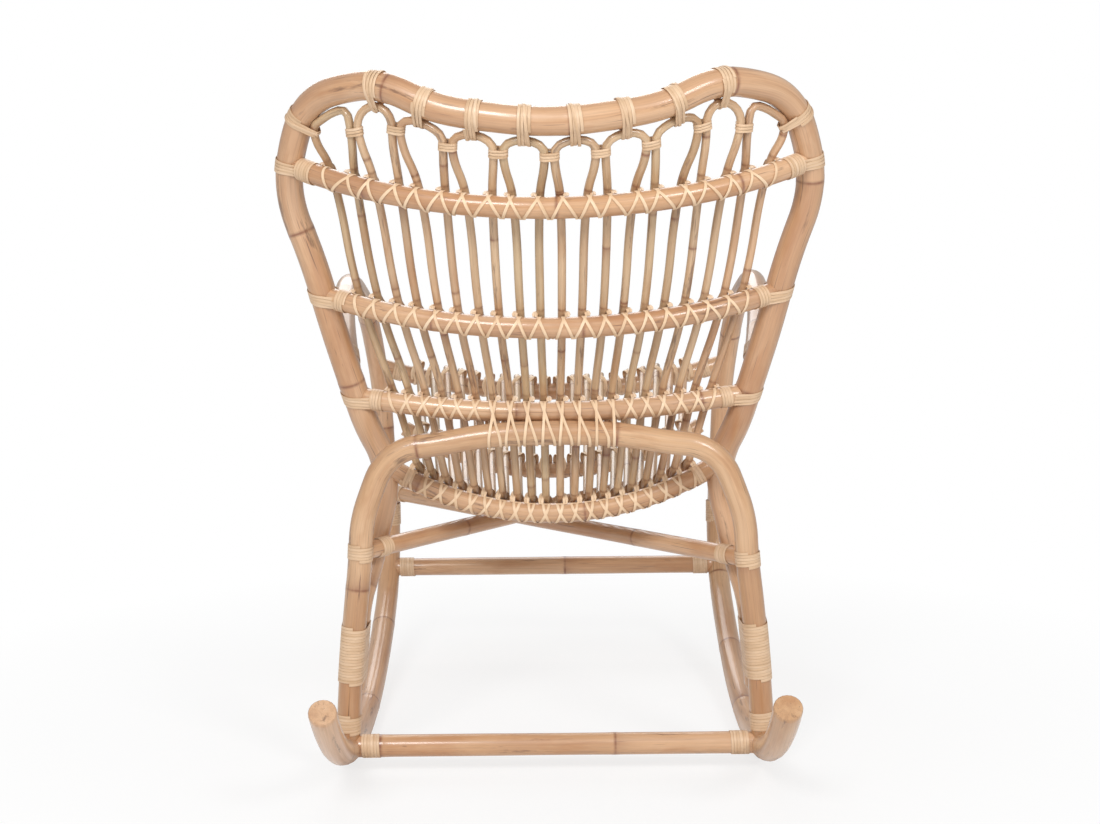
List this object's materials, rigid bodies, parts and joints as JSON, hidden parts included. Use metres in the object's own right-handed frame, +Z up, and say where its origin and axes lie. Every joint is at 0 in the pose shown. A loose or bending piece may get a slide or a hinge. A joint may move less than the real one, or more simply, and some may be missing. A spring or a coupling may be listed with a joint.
{
  "type": "rocking chair",
  "caption": "Rattan rocking chair with a butterfly-shaped back hoop, a bucket shell of looped cane slats, arched arms and bent rockers, joined with wound cane strip.",
  "frame": {"origin": "on the floor, midway between the two lines on which the rockers stand at rest", "axes": "+Z up, the sitter faces -Y, X across the chair with its middle plane at X = 0"},
  "size_m": [0.7068, 0.9323, 0.9379],
  "materials": {
    "rattan_pole": "gloss varnish",
    "rattan_cane": "gloss varnish",
    "cane_strip": "satin",
    "dowel_wood": "plain"
  },
  "bodies": {
    "root": {"back_hoop": "rattan_pole", "rear_leg_hoop": "rattan_pole", "rocker_left": "rattan_pole", "rocker_right": "rattan_pole", "arm_left": "rattan_pole", "arm_right": "rattan_pole", "seat_front_rail": "rattan_pole", "seat_middle_rail": "rattan_pole", "seat_rear_rail": "rattan_pole", "lower_back_rail": "rattan_pole", "middle_back_rail": "rattan_pole", "upper_back_rail": "rattan_pole", "rear_stretcher": "rattan_pole", "front_stretcher": "rattan_pole", "cross_brace_upper": "rattan_pole", "cross_brace_lower": "rattan_pole", "slat_loop_01": "rattan_cane", "slat_loop_02": "rattan_cane", "slat_loop_03": "rattan_cane", "slat_loop_04": "rattan_cane", "slat_loop_05": "rattan_cane", "slat_loop_06": "rattan_cane", "slat_loop_07": "rattan_cane", "slat_loop_08": "rattan_cane", "slat_loop_09": "rattan_cane", "slat_loop_10": "rattan_cane", "hoop_top_bindings": "cane_strip", "loop_knot_bindings": "cane_strip", "rail_end_bindings": "cane_strip", "arm_end_bindings": "cane_strip", "front_rail_bindings": "cane_strip", "splice_bindings": "cane_strip", "foot_bindings": "cane_strip", "long_leg_bindings": "cane_strip", "rear_stretcher_bindings": "cane_strip", "front_stretcher_bindings": "cane_strip", "brace_bindings": "cane_strip", "front_rail_lacing": "cane_strip", "seat_middle_lacing": "cane_strip", "seat_rear_lacing": "cane_strip", "lower_rail_lacing": "cane_strip", "middle_rail_lacing": "cane_strip", "upper_rail_lacing": "cane_strip", "joint_dowels": "dowel_wood"}
  },
  "joints": []
}
